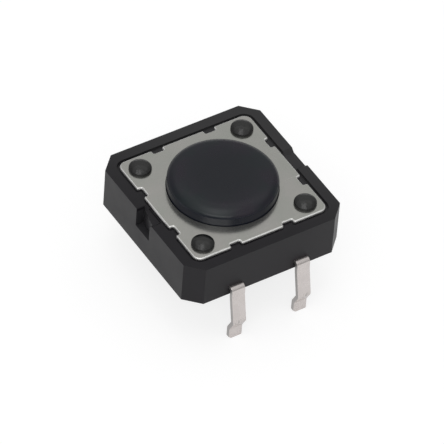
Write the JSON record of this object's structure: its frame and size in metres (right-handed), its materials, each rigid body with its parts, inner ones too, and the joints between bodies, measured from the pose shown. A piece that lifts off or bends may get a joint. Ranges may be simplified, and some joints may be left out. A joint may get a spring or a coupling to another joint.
{
  "type": "tactile switch",
  "caption": "Square through-hole push switch: black moulded housing, steel cover plate held by formed posts, low round button and kinked snap-in legs.",
  "frame": {"origin": "on the board's surface, under the middle of the housing", "axes": "+Z out of the board towards the button's top; the legs leave the -Y and +Y sides, so the leg rows are 12.5 mm apart along Y and the legs of a row 5 mm apart along X; the gate pocket is in the -X side"},
  "size_m": [0.012, 0.0136, 0.0082],
  "materials": {
    "housing_black": "fine moulded matte",
    "plate_steel": "satin, fine rolled grain",
    "button_black": "satin moulded",
    "spring_steel": "bright spring strip",
    "contact_plating": "bright plated strip"
  },
  "bodies": {
    "switch_body": {"housing": "housing_black", "cover_plate": "plate_steel", "snap_dome": "spring_steel", "centre_contact": "contact_plating", "rim_contact": "contact_plating"},
    "push_button": {"button": "button_black"}
  },
  "joints": [
    {"name": "button_press", "type": "slide", "parent": "switch_body", "child": "push_button", "axis": [0, 0, -1], "range_m": [0, 0.0003], "stiffness_N_per_m": 5200, "deforming": ["snap_dome"]}
  ]
}
